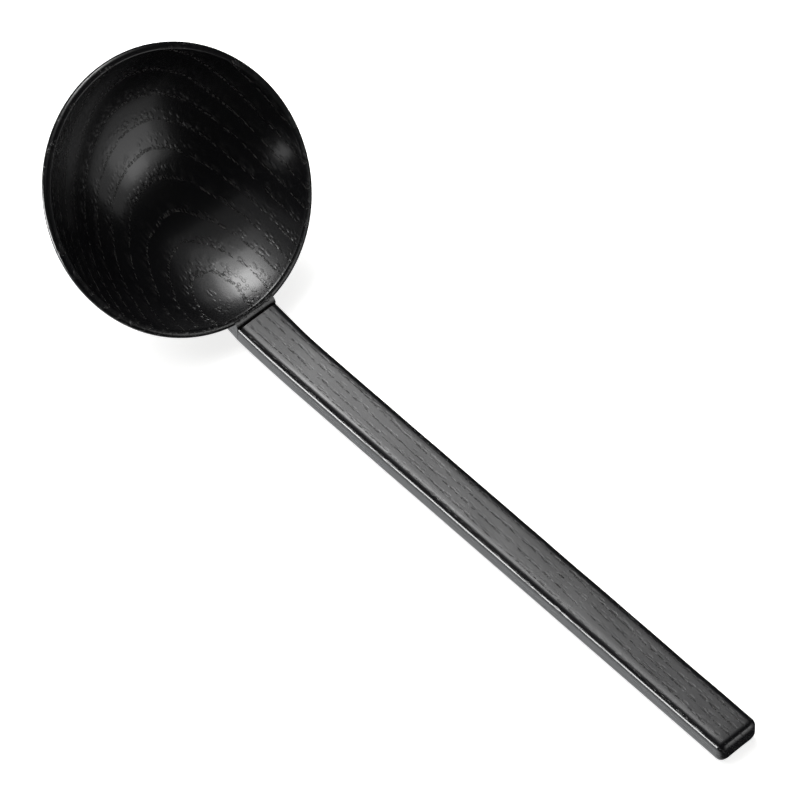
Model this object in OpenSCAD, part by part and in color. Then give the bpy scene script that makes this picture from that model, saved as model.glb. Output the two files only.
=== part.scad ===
// Wooden serving ladle: a turned bowl and a bent handle bar, joined at the neck by a stub tenon.
// The ladle lies on the flat underside of its handle, which runs along +X. The bowl's mouth is
// tilted towards the handle's end and the round underside of the bowl is just clear of the table.

/* [Bowl] */
// Outer diameter of the bowl at its rim
bowl_d = 76; // [70:0.5:82]
// Depth of the bowl's outside below its rim
bowl_depth = 22.5; // [20:0.5:25]
// Thickness of the rim
rim_t = 1.9; // [1.6:0.1:2.6]
// Thickness of the bowl's wall at the bottom
floor_t = 3; // [2.5:0.1:4]
// Radius of the rim's outer edge
rim_outer_r = 1.1; // [0.6:0.1:1.2]
// Radius of the rim's inner edge
rim_inner_r = 0.3; // [0.2:0.05:0.4]
// Angle between the rim and the straight part of the handle, in degrees
handle_angle = 44; // [42:0.5:46]

/* [Neck] */
// Distance of the joint line from the bowl's outer edge
joint_reach = 0.3; // [0:0.1:1.5]
// Width of the groove along the joint, on each side of it
groove_w = 0.6; // [0.3:0.05:0.8]
// Depth of the groove along the joint
groove_depth = 0.7; // [0.3:0.1:1]
// Width of the tenon
tenon_w = 7; // [5:0.5:9]
// Thickness of the tenon
tenon_t = 2.8; // [2:0.1:3]
// Length of the tenon
tenon_l = 5; // [3:0.1:5]
// Depth of the tenon's middle below the handle's top face
tenon_drop = 4; // [3.5:0.1:4.4]
// Thickness of the film of glue
glue_t = 0.15; // [0.1:0.01:0.2]

/* [Handle] */
// Length of the handle along its top face
handle_l = 178; // [140:1:220]
// Width of the handle
handle_w = 12.7; // [11:0.1:15]
// Thickness of the handle
handle_t = 7; // [6.4:0.1:8]
// Radius of the handle's long edges and of its end
edge_r = 2; // [1:0.1:2.5]
// Radius of the bend at the handle's root
bend_r = 250; // [200:5:300]
// Angle that the root bends through, in degrees
bend_angle = 5.5; // [4:0.5:7]

/* [Hidden] */
lacquer = [0.05, 0.05, 0.055];
glue = [0.55, 0.42, 0.25];

// Facets of round shapes, which stand for true curves
fine_fn = 96;
// How far a cutting shape runs past what it cuts
over = 5;
// How far the end of the lug's underside sinks into the bowl's wall
heel_sink = 0.4;
// How far the rounded edges of the rim stand proud, so that they cross their neighbours cleanly
proud = 0.002;

bowl_r = bowl_d / 2;
joint_x = bowl_r + joint_reach;
straight_l = handle_l - bend_r * bend_angle * PI / 180;

// Places in the handle's frame, which starts where the straight part begins, on the table
neck_x = -bend_r * sin(bend_angle);
neck_z = handle_t + bend_r * (1 - cos(bend_angle));
bowl_x = neck_x - joint_x * cos(handle_angle);
bowl_z = neck_z + joint_x * sin(handle_angle);

// The outside of the bowl is part of a ball that meets the rounding of the rim smoothly
rim_drop = bowl_depth - rim_outer_r;
outer_edge_x = bowl_r - rim_outer_r;
ball_s = outer_edge_x * outer_edge_x + rim_drop * rim_drop - rim_outer_r * rim_outer_r;
outer_r = ball_s / (2 * (rim_drop - rim_outer_r));
outer_z = outer_r - bowl_depth;

// The inside is part of a second ball, through the inner edge of the rim
hollow_h = bowl_depth - floor_t;
hollow_mouth_r = bowl_r - rim_t;
hollow_r = (hollow_mouth_r * hollow_mouth_r + hollow_h * hollow_h) / (2 * hollow_h);
hollow_z = hollow_r - hollow_h;

// Middle of the round inner edge of the rim
inner_edge_x = sqrt(pow(hollow_r + rim_inner_r, 2) - pow(hollow_z + rim_inner_r, 2));

// The underside of the lug runs from the shoulder of the joint to the underside of the bowl.
// Both are measured in the frame of the joint, from the bottom of the shoulder.
neck_angle = handle_angle - bend_angle;
ball_x = outer_z * sin(neck_angle) - joint_x * cos(neck_angle);
ball_z = outer_z * cos(neck_angle) + joint_x * sin(neck_angle) + handle_t;
ball_away = sqrt(ball_x * ball_x + ball_z * ball_z);
heel_angle = atan2(ball_z, -ball_x) - asin((outer_r - heel_sink) / ball_away);
heel_l = sqrt(ball_away * ball_away - pow(outer_r - heel_sink, 2));

// The origin is under the middle of the ladle's length
bowl_end = bowl_x + outer_z * sin(handle_angle) - outer_r;
middle_x = (bowl_end + straight_l) / 2;

// Frame of the handle: X along its straight part, from where that begins
module at_handle() {
    translate([-middle_x, 0, 0])
    children();
}

// Frame of the bowl: the middle of the rim, with Z along the bowl's axis
module at_bowl() {
    translate([bowl_x, 0, bowl_z])
    rotate([0, handle_angle, 0])
    children();
}

// Frame of the joint: X runs out along the handle's root and Z is square to its top face
module at_joint() {
    translate([neck_x, 0, neck_z])
    rotate([0, bend_angle, 0])
    children();
}

// Section of the handle, thickness along X and width along Y
module bar_section() {
    for (side = [-1, 1]) {
        translate([edge_r, side * (handle_w / 2 - edge_r)]) circle(r = edge_r, $fn = fine_fn);
        translate([handle_t - edge_r, side * (handle_w / 2 - edge_r)]) circle(r = edge_r, $fn = fine_fn);
    }
    translate([edge_r, -handle_w / 2]) square([handle_t - 2 * edge_r, handle_w]);
    translate([0, edge_r - handle_w / 2]) square([handle_t, handle_w - 2 * edge_r]);
}

// Straight bar of the handle's section, from one place along X to another, its top face at Z = 0
module bar(from, to) {
    translate([from, 0, 0])
    rotate([0, 90, 0])
    linear_extrude(to - from) bar_section();
}

// Outline of a bar with a rounded end
module round_ended(length, breadth) {
    translate([-over, -breadth / 2]) square([length - edge_r + over, breadth]);
    translate([-over, edge_r - breadth / 2]) square([length + over, breadth - 2 * edge_r]);
    for (side = [-1, 1]) {
        translate([length - edge_r, side * (breadth / 2 - edge_r)]) circle(r = edge_r, $fn = fine_fn);
    }
}

// Straight part of the handle, rounded all round its end
module straight() {
    translate([0, 0, handle_t])
    intersection() {
        bar(0, straight_l);
        translate([0, 0, -handle_t - 1]) linear_extrude(handle_t + 2) round_ended(straight_l, handle_w);
        translate([0, 0, -handle_t / 2])
        rotate([90, 0, 0])
        linear_extrude(handle_w + 2, center = true) round_ended(straight_l, handle_t);
    }
}

// Bent root of the handle, which runs back a little past the joint
module root() {
    translate([0, 0, handle_t + bend_r])
    rotate([-90, 90, 0])
    rotate_extrude(angle = bend_angle + 1, $fn = 4 * fine_fn)
    translate([bend_r, 0]) bar_section();
}

// Half section of the bowl, before it is hollowed out
module wall_section() {
    difference() {
        intersection() {
            translate([0, outer_z]) circle(r = outer_r, $fn = 2 * fine_fn);
            translate([0, -2 * bowl_r]) square([2 * bowl_r, 2 * bowl_r]);
        }
        outer_edge_cut();
    }
}

// What the outer edge of the rim loses to its rounding
module outer_edge_cut() {
    lean = atan2(-rim_outer_r - outer_z, outer_edge_x);
    difference() {
        translate([outer_edge_x, -rim_outer_r])
        polygon([[0, 0], [over * cos(lean), over * sin(lean)], [over, over], [0, over]]);
        translate([outer_edge_x, -rim_outer_r]) circle(r = rim_outer_r + proud, $fn = fine_fn);
    }
}

// What the inner edge of the rim loses to its rounding
module inner_edge_cut() {
    lean = atan2(hollow_z + rim_inner_r, -inner_edge_x);
    difference() {
        translate([inner_edge_x, -rim_inner_r])
        polygon([[0, 0], [0, over], [-over, over], [over * cos(lean), over * sin(lean)]]);
        translate([inner_edge_x, -rim_inner_r]) circle(r = rim_inner_r + proud, $fn = fine_fn);
    }
}

// Lug that grows out of the bowl's wall, up to the face that the handle butts against
module lug() {
    intersection() {
        at_joint() heel();
        at_joint() behind(0);
        at_bowl() translate([0, -handle_w, -2 * bowl_r]) cube([2 * bowl_r, 2 * handle_w, 2 * bowl_r]);
    }
}

// Bar whose underside leads from the shoulder to the bowl, tall enough to reach the rim
module heel() {
    translate([0, 0, -handle_t])
    rotate([0, heel_angle, 0]) {
        translate([0, 0, handle_t]) bar(-heel_l, over);
        translate([-heel_l, -handle_w / 2, handle_t / 2]) cube([heel_l + over, handle_w, bowl_r]);
    }
}

// What hollows out the bowl: a ball, and a ring that rounds the edge of the mouth
module hollow() {
    at_bowl() {
        translate([0, 0, hollow_z]) sphere(r = hollow_r, $fn = 2 * fine_fn);
        rotate_extrude($fn = 2 * fine_fn) inner_edge_cut();
    }
}

// V-shaped groove across the neck, its bottom in the middle of the film of glue
module groove() {
    down_x = groove_depth * sin(neck_angle) + glue_t / 2 * cos(neck_angle);
    down_z = -groove_depth * cos(neck_angle) + glue_t / 2 * sin(neck_angle);
    along_x = groove_w * cos(neck_angle);
    along_z = groove_w * sin(neck_angle);
    at_bowl()
    translate([joint_x, 0, 0])
    rotate([90, 0, 0])
    linear_extrude(2 * handle_w, center = true)
    polygon([[-groove_w, 0], [down_x, down_z], [along_x, along_z], [-groove_w, along_z + 1]]);
}

// Block that holds everything on the bowl's side of a plane across the joint
module behind(x) {
    translate([x - 2 * bowl_r, -handle_w, -bowl_r]) cube([2 * bowl_r, 2 * handle_w, 2 * bowl_r]);
}

// Block of the tenon, with a margin all round and its root inside the handle
module tenon_block(margin) {
    translate([-tenon_l - margin, -tenon_w / 2 - margin, -tenon_drop - tenon_t / 2 - margin])
    cube([tenon_l + margin + 1, tenon_w + 2 * margin, tenon_t + 2 * margin]);
}

module bowl() {
    color(lacquer)
    at_handle()
    difference() {
        union() {
            at_bowl() rotate_extrude($fn = 2 * fine_fn) wall_section();
            lug();
        }
        hollow();
        at_joint() tenon_block(glue_t);
        groove();
    }
}

module handle() {
    color(lacquer)
    at_handle() {
        difference() {
            union() {
                straight();
                root();
            }
            at_joint() behind(glue_t);
            groove();
        }
        at_joint() tenon_block(0);
    }
}

module glue_line() {
    color(glue)
    at_handle()
    difference() {
        at_joint() {
            difference() {
                union() {
                    bar(0, glue_t);
                    intersection() {
                        tenon_block(glue_t);
                        behind(glue_t);
                    }
                }
                tenon_block(0);
            }
        }
        groove();
    }
}

bowl();
handle();
glue_line();
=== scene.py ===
import bpy
import math
from mathutils import Euler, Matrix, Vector


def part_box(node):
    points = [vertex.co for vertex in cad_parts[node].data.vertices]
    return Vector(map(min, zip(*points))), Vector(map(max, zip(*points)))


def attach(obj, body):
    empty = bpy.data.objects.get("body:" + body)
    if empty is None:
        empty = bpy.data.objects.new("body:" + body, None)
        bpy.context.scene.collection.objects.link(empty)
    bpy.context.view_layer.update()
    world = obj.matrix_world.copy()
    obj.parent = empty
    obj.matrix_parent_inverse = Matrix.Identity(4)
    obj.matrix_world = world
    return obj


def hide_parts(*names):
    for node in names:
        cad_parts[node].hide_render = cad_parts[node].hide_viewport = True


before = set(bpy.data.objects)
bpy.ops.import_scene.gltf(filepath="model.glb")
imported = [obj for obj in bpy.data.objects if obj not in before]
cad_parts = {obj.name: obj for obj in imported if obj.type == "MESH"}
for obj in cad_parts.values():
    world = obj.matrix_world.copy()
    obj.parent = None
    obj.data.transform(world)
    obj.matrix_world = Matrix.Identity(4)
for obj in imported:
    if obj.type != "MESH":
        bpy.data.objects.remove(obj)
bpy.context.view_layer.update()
mm = 0.001


# how the two wooden pieces meet, in mm and degrees
neck = dict(
    tilt=44.0,          # rim against the straight handle
    bendRadius=250.0,   # at the handle's top face
    bendAngle=5.5,
    barThick=7.0,
    reach=0.3,          # joint line beyond the bowl's edge
    grooveWidth=0.6,    # on each side of the joint line
    grooveDepth=0.7,
    glue=0.15,
    tenon=(5.0, 7.0, 2.8),
    tenonDrop=4.0,
)


# small helpers for modelling

def onlySelect(piece):
    for other in bpy.context.selected_objects:
        other.select_set(False)
    piece.select_set(True)
    bpy.context.view_layer.objects.active = piece


def startPicking(piece, kind):  # nothing selected, ready to mark vertices or edges
    if bpy.context.mode != "OBJECT":
        bpy.ops.object.mode_set(mode="OBJECT")
    onlySelect(piece)
    bpy.ops.object.mode_set(mode="EDIT")
    bpy.ops.mesh.select_mode(type=kind)
    bpy.ops.mesh.select_all(action="DESELECT")
    bpy.ops.object.mode_set(mode="OBJECT")


def pickVerts(piece, test):  # leaves the piece in edit mode with just these vertices selected
    startPicking(piece, "VERT")
    for vert in piece.data.vertices:
        vert.select = bool(test(vert.co))
    bpy.ops.object.mode_set(mode="EDIT")


def pickEdges(piece, test):  # the same for edges, tested by their two ends
    startPicking(piece, "EDGE")
    verts = piece.data.vertices
    for edge in piece.data.edges:
        edge.select = bool(test(verts[edge.vertices[0]].co, verts[edge.vertices[1]].co))
    bpy.ops.object.mode_set(mode="EDIT")


def leaveEdit():
    bpy.ops.object.mode_set(mode="OBJECT")


def applyAll(piece):
    onlySelect(piece)
    for modifier in list(piece.modifiers):
        bpy.ops.object.modifier_apply(modifier=modifier.name)


def finishPiece(piece, cadNode, smoothAngle=38):
    onlySelect(piece)
    bpy.ops.object.transform_apply(location=True, rotation=True, scale=True)
    bpy.ops.object.mode_set(mode="EDIT")
    bpy.ops.mesh.select_all(action="SELECT")
    bpy.ops.mesh.remove_doubles(threshold=0.000002)
    leaveEdit()
    bpy.ops.object.shade_smooth_by_angle(angle=math.radians(smoothAngle))
    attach(piece, "root")
    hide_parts(cadNode)


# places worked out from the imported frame

handleLow, handleHigh = [Vector(corner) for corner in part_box("handle")]
handleThick = neck["barThick"] * mm
handleWide = handleHigh.y - handleLow.y
sideBand = handleWide / 2 - 2.1 * mm   # past this the surface is the rounded side
tilt = math.radians(neck["tilt"])
bend = math.radians(neck["bendAngle"])
bendRadius = neck["bendRadius"] * mm


# bowl

bowlSizes = dict(
    rimDiameter=76.0,
    depth=22.5,         # of the outside below the rim
    rimThick=1.9,
    floorThick=3.0,
    rimOuter=1.1,       # radius of the rim's outer edge
    rimInner=0.3,
    columns=240,
    edgeSteps=9,
    hollowSteps=72,
    heelSink=0.4,       # how far the lug's underside ends inside the wall
    lugAhead=6.0,       # rough block of the lug, past the joint and upwards, before it is trimmed
    lugTall=24.0,
    lugSlices=14,
    lugClear=0.7,       # left between the lug and the hollow
)
rimRadius = bowlSizes["rimDiameter"] / 2 * mm
rimOuter = bowlSizes["rimOuter"] * mm
rimInner = bowlSizes["rimInner"] * mm
edgeX = rimRadius - rimOuter
rimDrop = bowlSizes["depth"] * mm - rimOuter
outerRadius = (edgeX ** 2 + rimDrop ** 2 - rimOuter ** 2) / (2 * (rimDrop - rimOuter))
outerRise = outerRadius - bowlSizes["depth"] * mm
hollowDepth = (bowlSizes["depth"] - bowlSizes["floorThick"]) * mm
mouthRadius = rimRadius - bowlSizes["rimThick"] * mm
hollowRadius = (mouthRadius ** 2 + hollowDepth ** 2) / (2 * hollowDepth)
hollowRise = hollowRadius - hollowDepth
jointX = rimRadius + neck["reach"] * mm


def growRing(old, new):  # draws the open edge of the bowl on, from one radius and height to the next
    bpy.ops.mesh.extrude_region_move(TRANSFORM_OT_translate={"value": (0, 0, new[1] - old[1])})
    share = new[0] / old[0]
    bpy.ops.transform.resize(value=(share, share, 1), center_override=(0, 0, new[1]))
    return new


def makeBowl():  # in its own frame: the middle of the rim at the origin, the mouth facing +Z
    columns = bowlSizes["columns"]
    lean = math.atan2(rimOuter + outerRise, edgeX)
    bpy.ops.mesh.primitive_uv_sphere_add(
        segments=columns, ring_count=columns // 2, radius=outerRadius, location=(0, 0, outerRise)
    )
    piece = bpy.context.active_object
    piece.name = "woodenBowl"
    onlySelect(piece)
    bpy.ops.object.transform_apply(location=True, rotation=True, scale=True)
    seam = -rimOuter - rimOuter * math.sin(lean)
    bpy.ops.object.mode_set(mode="EDIT")
    bpy.ops.mesh.select_all(action="SELECT")
    bpy.ops.mesh.bisect(plane_co=(0, 0, seam), plane_no=(0, 0, 1), clear_outer=True, use_fill=False)
    pickEdges(piece, lambda a, b: abs(a.z - seam) < 1e-6 and abs(b.z - seam) < 1e-6)
    ring = (math.sqrt(outerRadius ** 2 - (seam - outerRise) ** 2), seam)
    steps = bowlSizes["edgeSteps"]
    for index in range(1, steps + 1):
        angle = -lean + (math.pi / 2 + lean) * index / steps
        ring = growRing(ring, (edgeX + rimOuter * math.cos(angle), -rimOuter + rimOuter * math.sin(angle)))
    # flat land, then the inner edge and the hollow
    innerX = math.sqrt((hollowRadius + rimInner) ** 2 - (hollowRise + rimInner) ** 2)
    ring = growRing(ring, (innerX, 0))
    turn = math.atan2(innerX, hollowRise + rimInner)
    for index in range(1, 5):
        angle = turn * index / 4
        ring = growRing(ring, (innerX - rimInner * math.sin(angle), rimInner * math.cos(angle) - rimInner))
    start = math.atan2(ring[0], hollowRise - ring[1])
    steps = bowlSizes["hollowSteps"]
    for index in range(1, steps):
        angle = start * (1 - index / steps)
        ring = growRing(ring, (hollowRadius * math.sin(angle), hollowRise - hollowRadius * math.cos(angle)))
    bpy.ops.mesh.extrude_region_move(
        TRANSFORM_OT_translate={"value": (0, 0, hollowRise - hollowRadius - ring[1])}
    )
    bpy.ops.mesh.merge(type="CENTER")
    bpy.ops.mesh.select_all(action="SELECT")
    bpy.ops.mesh.remove_doubles(threshold=0.000001)
    bpy.ops.mesh.normals_make_consistent(inside=False)
    leaveEdit()
    combine(piece, makeLug(), "UNION")
    piece.rotation_euler = (0, tilt, 0)
    piece.location = mouthPlace()
    onlySelect(piece)
    bpy.ops.object.transform_apply(location=True, rotation=True, scale=True)
    combine(piece, tenonBlock(neck["glue"] * mm, 0.001), "DIFFERENCE")
    return piece


def makeLug():  # the neck that grows out of the wall and carries the handle
    lift = tilt - bend
    out = Vector((math.cos(lift), 0, math.sin(lift)))
    top = Vector((-math.sin(lift), 0, math.cos(lift)))
    joint = Vector((jointX, 0, 0))
    shoulder = joint - top * handleThick
    toBall = Vector((0, 0, outerRise)) - shoulder
    sunk = outerRadius - bowlSizes["heelSink"] * mm
    heel = math.atan2(toBall.dot(top), -toBall.dot(out)) - math.asin(sunk / toBall.length)
    back = math.sqrt(toBall.length ** 2 - sunk ** 2)
    front = bowlSizes["lugAhead"] * mm
    tall = bowlSizes["lugTall"] * mm
    slices = bowlSizes["lugSlices"]
    bpy.ops.mesh.primitive_cube_add(size=1, location=(0, 0, 0))
    lug = bpy.context.active_object
    onlySelect(lug)
    bpy.ops.object.mode_set(mode="EDIT")
    bpy.ops.mesh.select_all(action="SELECT")
    bpy.ops.transform.resize(value=(back + front, handleWide, tall))
    bpy.ops.transform.translate(value=((front - back) / 2, 0, tall / 2))
    pickEdges(lug, lambda a, b: a.z < 1e-6 and b.z < 1e-6 and abs(a.y - b.y) < 1e-6)
    bpy.ops.mesh.bevel(offset=handleSizes["edgeRadius"] * mm, segments=8, affect="EDGES")
    pickVerts(lug, lambda co: co.y > sideBand)
    bpy.ops.transform.translate(value=(0, handleSizes["swell"] * mm, 0))
    for cut in range(1, slices):
        place = -back + (back + front) * cut / slices
        bpy.ops.mesh.select_all(action="SELECT")
        bpy.ops.mesh.bisect(plane_co=(place, 0, 0), plane_no=(1, 0, 0))
    leaveEdit()
    lug.rotation_euler = (0, heel - lift, 0)
    lug.location = shoulder
    onlySelect(lug)
    bpy.ops.object.transform_apply(location=True, rotation=True, scale=True)
    # trimmed to the face of the joint, the level of the rim and one side of the groove
    glue = neck["glue"] / 2 * mm
    vee = joint - top * neck["grooveDepth"] * mm + out * glue
    slope = vee - Vector((jointX - neck["grooveWidth"] * mm, 0, 0))
    trimTo(lug, joint, out)
    trimTo(lug, Vector(), Vector((0, 0, 1)))
    trimTo(lug, vee, Vector((-slope.z, 0, slope.x)))
    bpy.ops.mesh.primitive_uv_sphere_add(
        segments=120,
        ring_count=60,
        radius=hollowRadius + bowlSizes["lugClear"] * mm,
        location=(0, 0, hollowRise),
    )
    combine(lug, bpy.context.active_object, "DIFFERENCE")
    return lug


def jointPlace():  # start of the root on its top face, and its turn
    x = handleHigh.x - straightLength - bendRadius * math.sin(bend)
    z = handleThick + bendRadius * (1 - math.cos(bend))
    return Vector((x, 0, z)), Euler((0, bend, 0))


def mouthPlace():  # middle of the bowl's rim
    place = jointPlace()[0]
    return place + Vector((-math.cos(tilt), 0, math.sin(tilt))) * jointX


def tenonBlock(margin, root):  # block round the tenon, in the frame of the joint
    length, width, thick = [size * mm for size in neck["tenon"]]
    place, turn = jointPlace()
    long = length + margin + root
    middle = Vector(((root - length - margin) / 2, 0, -neck["tenonDrop"] * mm))
    bpy.ops.mesh.primitive_cube_add(size=1, location=(0, 0, 0))
    block = bpy.context.active_object
    onlySelect(block)
    bpy.ops.object.mode_set(mode="EDIT")
    bpy.ops.mesh.select_all(action="SELECT")
    bpy.ops.transform.resize(value=(long, width + 2 * margin, thick + 2 * margin))
    bpy.ops.transform.translate(value=middle)
    leaveEdit()
    block.location = place
    block.rotation_euler = turn
    bpy.ops.object.transform_apply(location=True, rotation=True, scale=True)
    return block


def trimTo(piece, place, facing):  # takes off everything in front of a plane
    size = 0.1
    bpy.ops.mesh.primitive_cube_add(size=size, location=place + facing.normalized() * size / 2)
    block = bpy.context.active_object
    block.rotation_euler = facing.to_track_quat("Z", "Y").to_euler()
    combine(piece, block, "DIFFERENCE")


def combine(piece, other, operation):
    cut = piece.modifiers.new("cut", "BOOLEAN")
    cut.operation = operation
    cut.solver = "EXACT"
    cut.object = other
    applyAll(piece)
    bpy.data.objects.remove(other, do_unlink=True)


# handle

handleSizes = dict(
    length=178.0,
    edgeRadius=2.0,
    edgeSteps=8,
    bendSteps=12,
    lengthSteps=44,
    endSteps=7,
    swell=0.45,         # how much fuller one side of the root is left
    swellLength=14.0,
    topHollow=0.14,     # how far the middle of the top lies below its edges
    handMarks=0.22,     # depth of the scraper's undulations
)
straightLength = handleSizes["length"] * mm - bendRadius * bend


def makeHandle():
    startX = handleHigh.x - straightLength
    radius = handleSizes["edgeRadius"] * mm
    bpy.ops.mesh.primitive_plane_add(size=1, location=(0, 0, 0))
    piece = bpy.context.active_object
    piece.name = "woodenHandle"
    onlySelect(piece)
    bpy.ops.object.mode_set(mode="EDIT")
    bpy.ops.mesh.select_all(action="SELECT")
    bpy.ops.transform.resize(value=(handleThick, handleWide, 1))
    bpy.ops.mesh.select_mode(type="VERT")
    bpy.ops.mesh.bevel(offset=radius, segments=handleSizes["edgeSteps"], affect="VERTICES")
    bpy.ops.mesh.select_all(action="SELECT")
    bpy.ops.mesh.delete(type="ONLY_FACE")
    pickEdges(piece, lambda a, b: (a - b).length > 0.0025)
    bpy.ops.mesh.subdivide(number_cuts=7)
    # the top is dressed slightly hollow across
    flatHalf = handleWide / 2 - radius
    for step in range(-3, 4):
        pickVerts(piece, lambda co: co.x < 0 and abs(co.y - step * flatHalf / 4) < 1e-4)
        sink = handleSizes["topHollow"] * mm * (1 - (step / 4) ** 2)
        bpy.ops.transform.translate(value=(sink, 0, 0))
    bpy.ops.mesh.select_all(action="SELECT")
    bpy.ops.transform.rotate(value=math.pi / 2, orient_axis="Y", center_override=(0, 0, 0))
    bpy.ops.transform.translate(value=(startX, 0, handleThick / 2))
    # bent root, spun back from the start of the straight part
    bpy.ops.mesh.spin(
        steps=handleSizes["bendSteps"],
        angle=-bend,
        center=(startX, 0, handleThick + bendRadius),
        axis=(0, 1, 0),
    )
    place = jointPlace()[0]
    along = Vector((math.cos(bend), 0, -math.sin(bend)))
    up = Vector((math.sin(bend), 0, math.cos(bend)))
    # the top edge of the joint is eased to one side of the groove
    groove = neck["grooveWidth"] * mm
    glue = neck["glue"] * mm
    bpy.ops.transform.translate(value=along * (groove + 0.00025))
    bpy.ops.mesh.extrude_region_move(TRANSFORM_OT_translate={"value": -along * 0.0002})
    bpy.ops.mesh.extrude_region_move(TRANSFORM_OT_translate={"value": -along * (groove + 0.00005 - glue)})
    face = place + along * glue
    pickVerts(piece, lambda co: abs((co - face).dot(along)) < 1e-5 and (co - face).dot(up) > -0.0007)
    bpy.ops.transform.translate(value=-up * neck["grooveDepth"] * mm)
    pickVerts(piece, lambda co: abs((co - face).dot(along)) < 1e-5)
    bpy.ops.mesh.edge_face_add()
    # straight part
    pickVerts(piece, lambda co: abs(co.x - startX) < 1e-6)
    bpy.ops.mesh.select_mode(type="EDGE")
    length = (straightLength - radius) / handleSizes["lengthSteps"]
    for _ in range(handleSizes["lengthSteps"]):
        bpy.ops.mesh.extrude_region_move(TRANSFORM_OT_translate={"value": (length, 0, 0)})
    # rounded end
    lastInset = 0
    lastX = 0
    for index in range(1, handleSizes["endSteps"] + 1):
        angle = index / handleSizes["endSteps"] * math.pi / 2 * 0.97
        inset = radius * (1 - math.cos(angle))
        forward = radius * math.sin(angle)
        bpy.ops.mesh.extrude_region_move(TRANSFORM_OT_translate={"value": (forward - lastX, 0, 0)})
        bpy.ops.transform.resize(
            value=(
                1,
                (handleWide - 2 * inset) / (handleWide - 2 * lastInset),
                (handleThick - 2 * inset) / (handleThick - 2 * lastInset),
            ),
            center_override=(handleHigh.x, 0, handleThick / 2),
        )
        lastInset = inset
        lastX = forward
    bpy.ops.mesh.edge_face_add()
    bpy.ops.mesh.inset(thickness=0.0004)
    bpy.ops.mesh.select_all(action="SELECT")
    bpy.ops.mesh.normals_make_consistent(inside=False)
    leaveEdit()
    swellRoot(piece, place, along)
    shapeByHand(piece)
    combine(piece, tenonBlock(0, 0.002), "UNION")
    return piece


def swellRoot(piece, place, along):  # one side of the root is left a little fuller
    reach = handleSizes["swellLength"] * mm
    group = piece.vertex_groups.new(name="fuller")
    for vert in piece.data.vertices:
        distance = max(0, (vert.co - place).dot(along))
        if distance < reach and vert.co.y > sideBand:
            group.add([vert.index], 1 - distance / reach, "REPLACE")
    push = piece.modifiers.new("push", "DISPLACE")
    push.direction = "Y"
    push.strength = handleSizes["swell"] * mm
    push.mid_level = 0
    push.vertex_group = "fuller"
    applyAll(piece)


def shapeByHand(piece):  # faint undulations left by the scraper
    group = piece.vertex_groups.new(name="scraped")
    for vert in piece.data.vertices:
        fromEnd = (handleHigh.x - vert.co.x) / 0.012
        fromNeck = (vert.co.x - handleLow.x - 0.006) / 0.02
        share = max(0, min(1, fromEnd - 0.3, fromNeck, vert.co.z / 0.002 - 0.5))
        if share > 0:
            group.add([vert.index], share, "REPLACE")
    marks = bpy.data.textures.new("scraperMarks", "CLOUDS")
    marks.noise_scale = 0.016
    marks.noise_depth = 1
    wave = piece.modifiers.new("wave", "DISPLACE")
    wave.texture = marks
    wave.texture_coords = "LOCAL"
    wave.strength = handleSizes["handMarks"] * mm
    wave.mid_level = 0.6
    wave.vertex_group = "scraped"
    applyAll(piece)


# finishes

bowlFinish = dict(
    lacquer=(0.003, 0.003, 0.0035, 1),
    poreTint=(0.04, 0.039, 0.037, 1),
    roughness=0.24,
    rowShare=0.12,                      # how much of each ring is early wood with open pores
    ringHeart=(-73.3, 0.0, 67.5),      # a place on the axis that the rings curve round, in mm
    ringAxis=(0.175, 0.982, -0.069),
    ringEdge=58.95,                     # radius of the last ring seen, in mm
    ringStep=0.45,
    ringPower=0.6,                      # below 1, the rings lie wider apart away from ringEdge
    fibreWay=(0.86, 0, -0.51),          # the way that the fibres run
    poreSize=(2.2, 0.56, 0.56),         # along and across the fibres, in mm
    poreDepth=0.4,
)
handleFinish = dict(
    lacquer=(0.005, 0.005, 0.006, 1),
    poreTint=(0.012, 0.011, 0.01, 1),
    roughness=0.27,
    rowShare=0.18,
    ringSlope=(0.012, 0.42, 0.3),       # rings per mm along X, Y and Z
    fibreWay=(1, 0.03, 0),
    poreSize=(1.5, 0.42, 0.42),
    poreDepth=0.16,
)


def newMaterial(name):
    material = bpy.data.materials.new(name)
    material.use_nodes = True
    tree = material.node_tree
    tree.nodes.clear()
    output = tree.nodes.new("ShaderNodeOutputMaterial")
    shader = tree.nodes.new("ShaderNodeBsdfPrincipled")
    tree.links.new(shader.outputs[0], output.inputs[0])
    return material, tree, shader


def calc(tree, operation, *values, clamp=False):
    node = tree.nodes.new("ShaderNodeMath")
    node.operation = operation
    node.use_clamp = clamp
    for index, value in enumerate(values):
        if isinstance(value, (int, float)):
            node.inputs[index].default_value = value
        else:
            tree.links.new(value, node.inputs[index])
    return node.outputs[0]


def vectorCalc(tree, operation, first, second=None):
    node = tree.nodes.new("ShaderNodeVectorMath")
    node.operation = operation
    tree.links.new(first, node.inputs[0])
    if isinstance(second, (tuple, list)):
        node.inputs[1].default_value = second
    elif second is not None:
        tree.links.new(second, node.inputs[1])
    return node.outputs["Value"] if operation in ("LENGTH", "DOT_PRODUCT") else node.outputs[0]


def noise(tree, vector, scale, detail=2.0, roughness=0.5):
    node = tree.nodes.new("ShaderNodeTexNoise")
    node.inputs["Scale"].default_value = scale
    node.inputs["Detail"].default_value = detail
    node.inputs["Roughness"].default_value = roughness
    tree.links.new(vector, node.inputs["Vector"])
    return node.outputs[0]


def ramp(tree, value, low, high, toLow=0.0, toHigh=1.0):
    node = tree.nodes.new("ShaderNodeMapRange")
    node.interpolation_type = "SMOOTHSTEP"
    node.inputs["From Min"].default_value = low
    node.inputs["From Max"].default_value = high
    node.inputs["To Min"].default_value = toLow
    node.inputs["To Max"].default_value = toHigh
    tree.links.new(value, node.inputs["Value"])
    return node.outputs[0]


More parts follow.
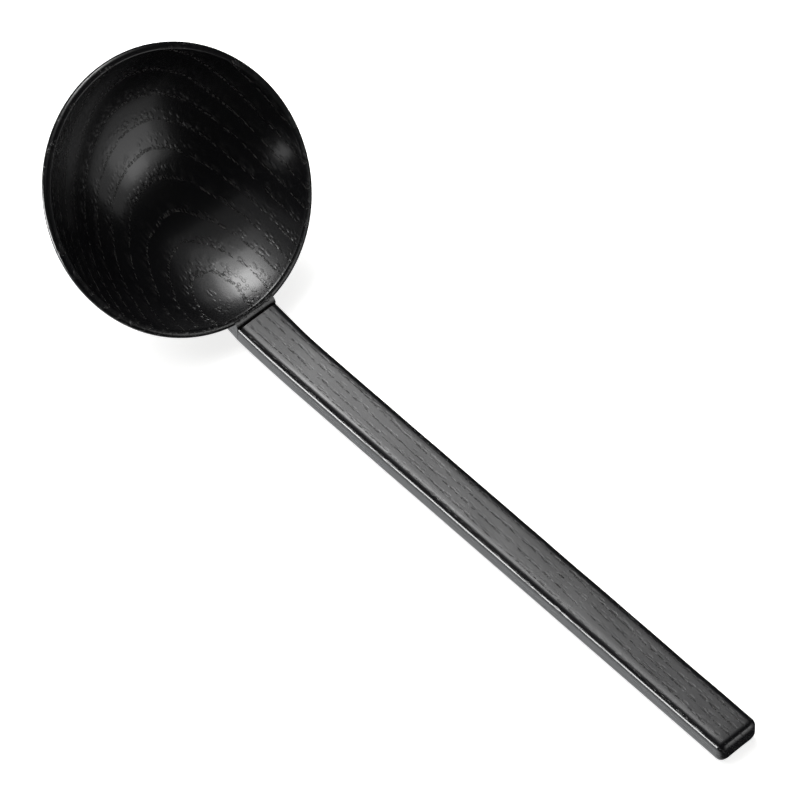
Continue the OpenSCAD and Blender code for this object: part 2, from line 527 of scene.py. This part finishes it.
def poreField(tree, coords, size, seed):  # long thin pores along X, 1 in a pore and 0 between
    stretched = vectorCalc(tree, "MULTIPLY", coords, tuple(1 / (part * mm) for part in size))
    shifted = vectorCalc(tree, "ADD", stretched, (seed, seed * 1.7, seed * 2.3))
    cells = tree.nodes.new("ShaderNodeTexVoronoi")
    cells.voronoi_dimensions = "3D"
    cells.feature = "F1"
    cells.inputs["Scale"].default_value = 1
    tree.links.new(shifted, cells.inputs["Vector"])
    return ramp(tree, cells.outputs["Distance"], 0.28, 0.52, 1.0, 0.0)


def lacqueredWood(name, look, ringCount):
    material, tree, shader = newMaterial(name)
    coords = tree.nodes.new("ShaderNodeTexCoord").outputs["Object"]
    fibres = tree.nodes.new("ShaderNodeMapping")
    fibres.vector_type = "TEXTURE"
    fibres.inputs["Rotation"].default_value = Vector(look["fibreWay"]).to_track_quat("X", "Z").to_euler()
    tree.links.new(coords, fibres.inputs["Vector"])
    grainCoords = fibres.outputs[0]
    wobble = noise(tree, coords, 70, 2)
    rings = ringCount(tree, coords, look, wobble)
    phase = calc(tree, "FRACT", rings)
    ringRow = ramp(tree, phase, look["rowShare"] * 0.5, look["rowShare"], 1.0, 0.0)
    lateWood = ramp(tree, phase, look["rowShare"], 0.75, 0.16, 0.0)
    pores = poreField(tree, grainCoords, look["poreSize"], 3.1)
    rarePores = poreField(tree, grainCoords, tuple(part * 1.7 for part in look["poreSize"]), 9.4)
    patchy = ramp(tree, noise(tree, coords, 160, 2), 0.3, 0.55, 0.5, 1.0)
    earlyPores = calc(tree, "MULTIPLY", calc(tree, "MULTIPLY", pores, ringRow), patchy)
    latePores = calc(tree, "MULTIPLY", rarePores, lateWood)
    allPores = calc(tree, "MAXIMUM", earlyPores, latePores)
    streaks = noise(tree, vectorCalc(tree, "MULTIPLY", grainCoords, (60, 1700, 1700)), 1, 3, 0.6)
    height = calc(tree, "SUBTRACT", calc(tree, "MULTIPLY", streaks, 0.02), allPores)
    bump = tree.nodes.new("ShaderNodeBump")
    bump.inputs["Strength"].default_value = 1
    bump.inputs["Distance"].default_value = look["poreDepth"] * mm
    tree.links.new(height, bump.inputs["Height"])
    tree.links.new(bump.outputs[0], shader.inputs["Normal"])
    tint = tree.nodes.new("ShaderNodeMix")
    tint.data_type = "RGBA"
    tint.inputs[6].default_value = look["lacquer"]
    tint.inputs[7].default_value = look["poreTint"]
    tree.links.new(allPores, tint.inputs[0])
    tree.links.new(tint.outputs[2], shader.inputs["Base Color"])
    worn = noise(tree, coords, 45, 3)
    rough = calc(tree, "MULTIPLY_ADD", worn, 0.1, look["roughness"] - 0.05)
    tree.links.new(calc(tree, "MULTIPLY_ADD", allPores, 0.2, rough), shader.inputs["Roughness"])
    shader.inputs["IOR"].default_value = 1.52
    shader.inputs["Coat Weight"].default_value = 0.35
    shader.inputs["Coat Roughness"].default_value = 0.12
    return material


def curvedRings(tree, coords, look, wobble):  # rings that curve round an axis over the bowl
    place = tree.nodes.new("ShaderNodeMapping")
    place.vector_type = "TEXTURE"
    place.inputs["Location"].default_value = [part * mm for part in look["ringHeart"]]
    turn = Vector(look["ringAxis"]).normalized().to_track_quat("X", "Z").to_euler()
    place.inputs["Rotation"].default_value = turn
    tree.links.new(coords, place.inputs["Vector"])
    flat = vectorCalc(tree, "MULTIPLY", place.outputs[0], (0, 1, 1))
    radius = calc(tree, "MULTIPLY", vectorCalc(tree, "LENGTH", flat), 1 / mm)
    uneven = calc(tree, "MULTIPLY_ADD", wobble, 0.9, -0.45)
    handDrawn = calc(tree, "ADD", radius, uneven)
    depth = calc(tree, "ABSOLUTE", calc(tree, "SUBTRACT", look["ringEdge"], handDrawn))
    return calc(tree, "POWER", calc(tree, "DIVIDE", depth, look["ringStep"]), look["ringPower"])


def straightRings(tree, coords, look, wobble):  # flat rings that run along the handle
    across = vectorCalc(tree, "DOT_PRODUCT", coords, tuple(part / mm for part in look["ringSlope"]))
    slow = noise(tree, vectorCalc(tree, "MULTIPLY", coords, (14, 60, 60)), 1, 2)
    bowed = calc(tree, "MULTIPLY_ADD", slow, 1.8, across)
    return calc(tree, "ADD", bowed, calc(tree, "MULTIPLY", wobble, 0.25))


def glueFilm():
    material, tree, shader = newMaterial("gluedJoint")
    coords = tree.nodes.new("ShaderNodeTexCoord").outputs["Object"]
    shade = ramp(tree, noise(tree, coords, 900, 3), 0.3, 0.7, 0.0, 1.0)
    tint = tree.nodes.new("ShaderNodeMix")
    tint.data_type = "RGBA"
    tint.inputs[6].default_value = (0.006, 0.005, 0.004, 1)
    tint.inputs[7].default_value = (0.018, 0.014, 0.01, 1)
    tree.links.new(shade, tint.inputs[0])
    tree.links.new(tint.outputs[2], shader.inputs["Base Color"])
    tree.links.new(calc(tree, "MULTIPLY_ADD", shade, 0.2, 0.45), shader.inputs["Roughness"])
    return material


def giveMaterial(piece, material):
    piece.data.materials.clear()
    piece.data.materials.append(material)


# studio

studio = dict(
    target=(-13.9, 7.45, 10.0),    # what the camera looks at, in mm
    azimuth=-40.76,
    elevation=53.28,
    distance=1.7,
    roll=2.24,
    lens=301.25,
    floorSize=8.0,
    floorColour=(0.86, 0.86, 0.855, 1),
    floorGlow=0.95,                # paper lit from below, so that the shadows stay faint
    paperGlow=(-137, -52),         # azimuth and elevation of the brightest paper that the gloss mirrors
    roomLight=0.02,
)
# each light: azimuth, elevation, distance in m, width, height, radiance, shows in gloss
lights = dict(
    mainCore=(161, 53, 1.24, 0.36, 0.44, 6.5, True),
    mainPanel=(162, 56, 1.28, 0.70, 0.92, 2.6, True),
    mainGlow=(162, 62, 1.32, 1.25, 1.3, 0.5, True),
    mainHaze=(175, 72, 1.4, 2.2, 2.0, 0.2, True),
    lowFill=(22, 14, 1.3, 0.38, 0.34, 1.1, True),
    lowGlow=(20, 4, 1.35, 0.85, 0.75, 0.8, True),
    lowHaze=(24, -2, 1.4, 1.7, 1.4, 0.4, True),
    sideStrip=(-117, -7, 1.3, 1.1, 0.4, 17.0, True),
    coolWindow=(-88, 20, 1.4, 0.25, 0.25, 1.6, True),
    floorWash=(-140, 58, 1.6, 1.2, 1.2, 2.5, False),
)


def direction(azimuth, elevation):
    turn, rise = math.radians(azimuth), math.radians(elevation)
    return Vector((math.cos(rise) * math.cos(turn), math.cos(rise) * math.sin(turn), math.sin(rise)))


def makeCamera():
    data = bpy.data.cameras.new("studioCamera")
    camera = bpy.data.objects.new("studioCamera", data)
    bpy.context.scene.collection.objects.link(camera)
    target = Vector(studio["target"]) * mm
    away = direction(studio["azimuth"], studio["elevation"])
    camera.location = target + away * studio["distance"]
    look = away.to_track_quat("Z", "Y")
    level = look.to_euler().to_matrix()
    roll = Euler((0, 0, -math.radians(studio["roll"]))).to_matrix()
    camera.rotation_euler = (level @ roll).to_euler()
    data.lens = studio["lens"]
    data.sensor_width = 36
    data.clip_end = 20
    bpy.context.scene.camera = camera


def makeLight(name, azimuth, elevation, distance, width, height, radiance, inGloss):
    data = bpy.data.lights.new(name, "AREA")
    data.shape = "RECTANGLE"
    data.size = width
    data.size_y = height
    data.energy = radiance * math.pi * width * height
    lamp = bpy.data.objects.new(name, data)
    bpy.context.scene.collection.objects.link(lamp)
    away = direction(azimuth, elevation)
    lamp.location = Vector((-0.04, 0, 0.02)) + away * distance
    lamp.rotation_euler = away.to_track_quat("Z", "Y").to_euler()
    lamp.visible_glossy = inGloss
    lamp.visible_camera = False


def makeFloor():
    bpy.ops.mesh.primitive_plane_add(size=studio["floorSize"], location=(0, 0, -0.0002))
    floor = bpy.context.active_object
    floor.name = "paleFloor"
    material, tree, shader = newMaterial("palePaper")
    coords = tree.nodes.new("ShaderNodeTexCoord").outputs["Object"]
    tint = tree.nodes.new("ShaderNodeMix")
    tint.data_type = "RGBA"
    tint.inputs[6].default_value = studio["floorColour"]
    tint.inputs[7].default_value = tuple(part * 0.985 for part in studio["floorColour"][:3]) + (1,)
    tree.links.new(noise(tree, coords, 6, 2), tint.inputs[0])
    tree.links.new(tint.outputs[2], shader.inputs["Base Color"])
    shader.inputs["Roughness"].default_value = 0.9
    floor.visible_glossy = False   # the room below mirrors only the bright paper beside the handle
    tree.links.new(tint.outputs[2], shader.inputs["Emission Color"])
    shader.inputs["Emission Strength"].default_value = studio["floorGlow"]
    giveMaterial(floor, material)


def makeWorld():
    world = bpy.data.worlds.new("dimRoom")
    bpy.context.scene.world = world
    world.use_nodes = True
    tree = world.node_tree
    shade = tree.nodes["Background"]
    shade.inputs[0].default_value = (0.96, 0.98, 1, 1)
    around = tree.nodes.new("ShaderNodeTexCoord").outputs["Generated"]
    brightWay = tuple(direction(*studio["paperGlow"]))
    near = vectorCalc(tree, "DOT_PRODUCT", around, brightWay)
    tree.links.new(ramp(tree, near, 0.55, 0.95, studio["roomLight"], 1.0), shade.inputs[1])
    bpy.context.scene.view_settings.view_transform = "Standard"


# build

makeCamera()
for lightName, values in lights.items():
    makeLight(lightName, *values)
makeWorld()
makeFloor()
print("studio ready")

woodenBowl = makeBowl()
giveMaterial(woodenBowl, lacqueredWood("bowlLacquer", bowlFinish, curvedRings))
finishPiece(woodenBowl, "bowl")
print("bowl ready:", len(woodenBowl.data.polygons), "faces")

woodenHandle = makeHandle()
giveMaterial(woodenHandle, lacqueredWood("handleLacquer", handleFinish, straightRings))
finishPiece(woodenHandle, "handle")
print("handle ready:", len(woodenHandle.data.polygons), "faces")

giveMaterial(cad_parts["glue_line"], glueFilm())
print("glue line ready")
